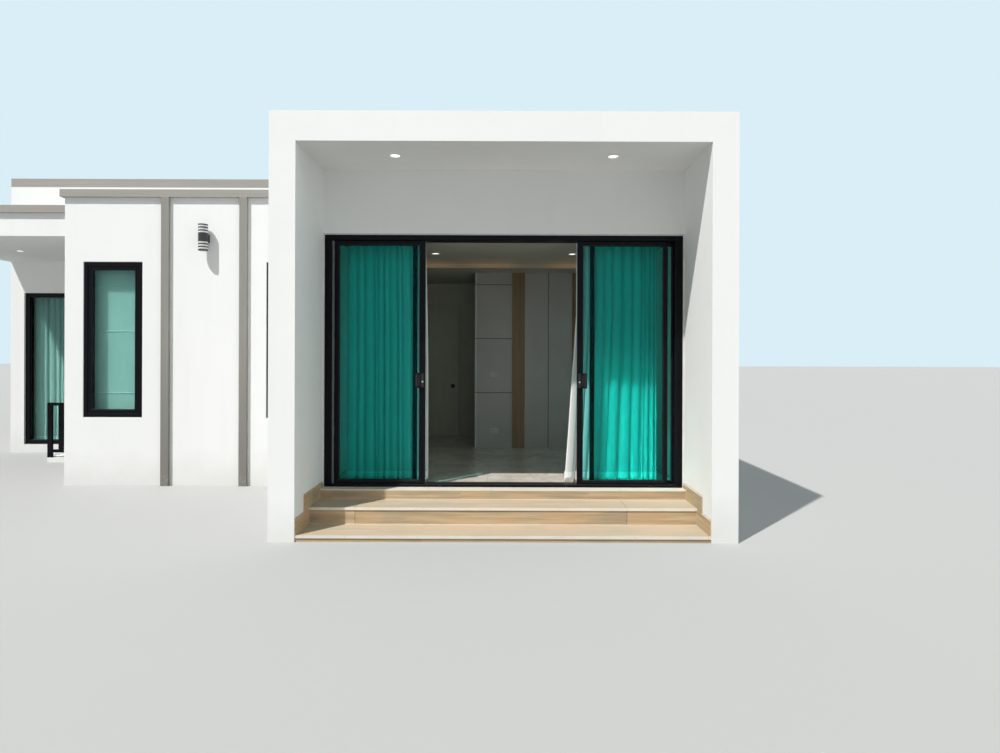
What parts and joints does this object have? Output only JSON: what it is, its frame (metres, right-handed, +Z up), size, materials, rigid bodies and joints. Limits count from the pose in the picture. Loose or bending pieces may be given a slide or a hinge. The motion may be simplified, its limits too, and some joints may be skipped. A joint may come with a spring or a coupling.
{
  "type": "bungalow",
  "caption": "Flat-roofed modern bungalow with a white box portal, sliding glass door and steps, a windowed wing, a side porch and a taller block behind.",
  "frame": {"origin": "the middle of the house's footprint, at ground level", "axes": "+X along the front to the right, as seen by someone facing the door; +Y from the front to the back; +Z up"},
  "size_m": [9.68, 8.9, 4.3],
  "materials": {
    "white_render": "smooth white painted render",
    "grey_paint": "smooth warm grey paint",
    "roof_grey": "grey roof screed",
    "step_tile": "matt plank tile with a pale timber grain",
    "nosing_tile": "cream tile strip",
    "floor_stone": "polished grey stone",
    "black_frame": "satin black coating",
    "door_glass": "clear glass with a green tint",
    "window_glass": "clear glass with a grey green tint",
    "sheer_cloth": "white sheer cloth",
    "white_panel": "satin off-white painted board",
    "timber": "mid brown timber",
    "white_trim": "white moulded"
  },
  "bodies": {
    "house": {"portal_left_wall": "white_render", "portal_right_wall": "white_render", "portal_roof": "white_render", "door_lintel": "white_render", "lower_step": "step_tile", "upper_step": "step_tile", "door_step": "step_tile", "step_nosings": "nosing_tile", "step_skirtings": "step_tile", "floors": "floor_stone", "door_frame": "black_frame", "fixed_sashes": "black_frame", "fixed_glass": "door_glass", "curtain_track": "white_trim", "door_curtains": "sheer_cloth", "living_ceiling": "white_render", "panelled_wall": "white_panel", "timber_strips": "timber", "passage_door": "white_panel", "downlights": "white_trim", "wing_front_wall": "white_render", "wing_left_wall": "white_render", "wing_roof": "roof_grey", "wing_pilasters": "grey_paint", "window_frames": "black_frame", "window_panes": "window_glass", "window_blinds": "sheer_cloth", "wall_light": "black_frame", "porch_roof": "white_render", "porch_glazing_frame": "black_frame", "porch_curtain": "sheer_cloth", "porch_landing": "white_render", "porch_railing": "black_frame", "main_front_wall": "white_render", "main_left_wall": "white_render", "main_back_wall": "white_render", "main_right_wall": "white_render", "main_roof": "roof_grey", "roof_copings": "grey_paint"},
    "left_leaf": {"left_leaf_frame": "black_frame", "left_leaf_glass": "door_glass", "left_leaf_lock": "black_frame"},
    "right_leaf": {"right_leaf_frame": "black_frame", "right_leaf_glass": "door_glass", "right_leaf_lock": "black_frame"}
  },
  "joints": [
    {"name": "left_leaf_slide", "type": "slide", "parent": "house", "child": "left_leaf", "axis": [1, 0, 0], "range_m": [-0.016, 0.7475]},
    {"name": "right_leaf_slide", "type": "slide", "parent": "house", "child": "right_leaf", "axis": [-1, 0, 0], "range_m": [-0.061, 0.7025]}
  ]
}
